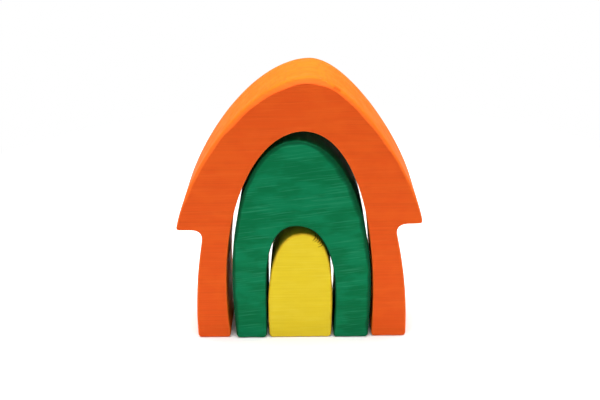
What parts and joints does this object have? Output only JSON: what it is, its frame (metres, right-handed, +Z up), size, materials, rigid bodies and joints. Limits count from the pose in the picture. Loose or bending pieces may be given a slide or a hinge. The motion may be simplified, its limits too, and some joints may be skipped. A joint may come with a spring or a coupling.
{
  "type": "wooden stacking toy",
  "caption": "Wooden nesting toy: a house-shaped outer piece with a swept roof holds a pointed arch, which holds a round-topped door; the loose sawn pieces slide out to stack and rebuild.",
  "frame": {"origin": "on the floor under the middle of the toy's box", "axes": "+X to the right across the front, +Y from the front face to the back, +Z up from the feet to the roof's peak"},
  "size_m": [0.1048, 0.0306, 0.1232],
  "materials": {
    "orange_stained_wood": "solid wood stained orange, sanded, satin oil",
    "green_stained_wood": "solid wood stained green, sanded, satin oil",
    "yellow_stained_wood": "solid wood stained yellow, sanded, satin oil"
  },
  "bodies": {
    "outer_house": {"outer_house": "orange_stained_wood"},
    "middle_arch": {"middle_arch": "green_stained_wood"},
    "inner_door": {"inner_door": "yellow_stained_wood"}
  },
  "joints": [
    {"name": "arch_slide", "type": "slide", "parent": "outer_house", "child": "middle_arch", "axis": [0, 1, 0], "range_m": [-0.04, 0.04]},
    {"name": "door_slide", "type": "slide", "parent": "outer_house", "child": "inner_door", "axis": [0, 1, 0], "range_m": [-0.04, 0.04]}
  ]
}
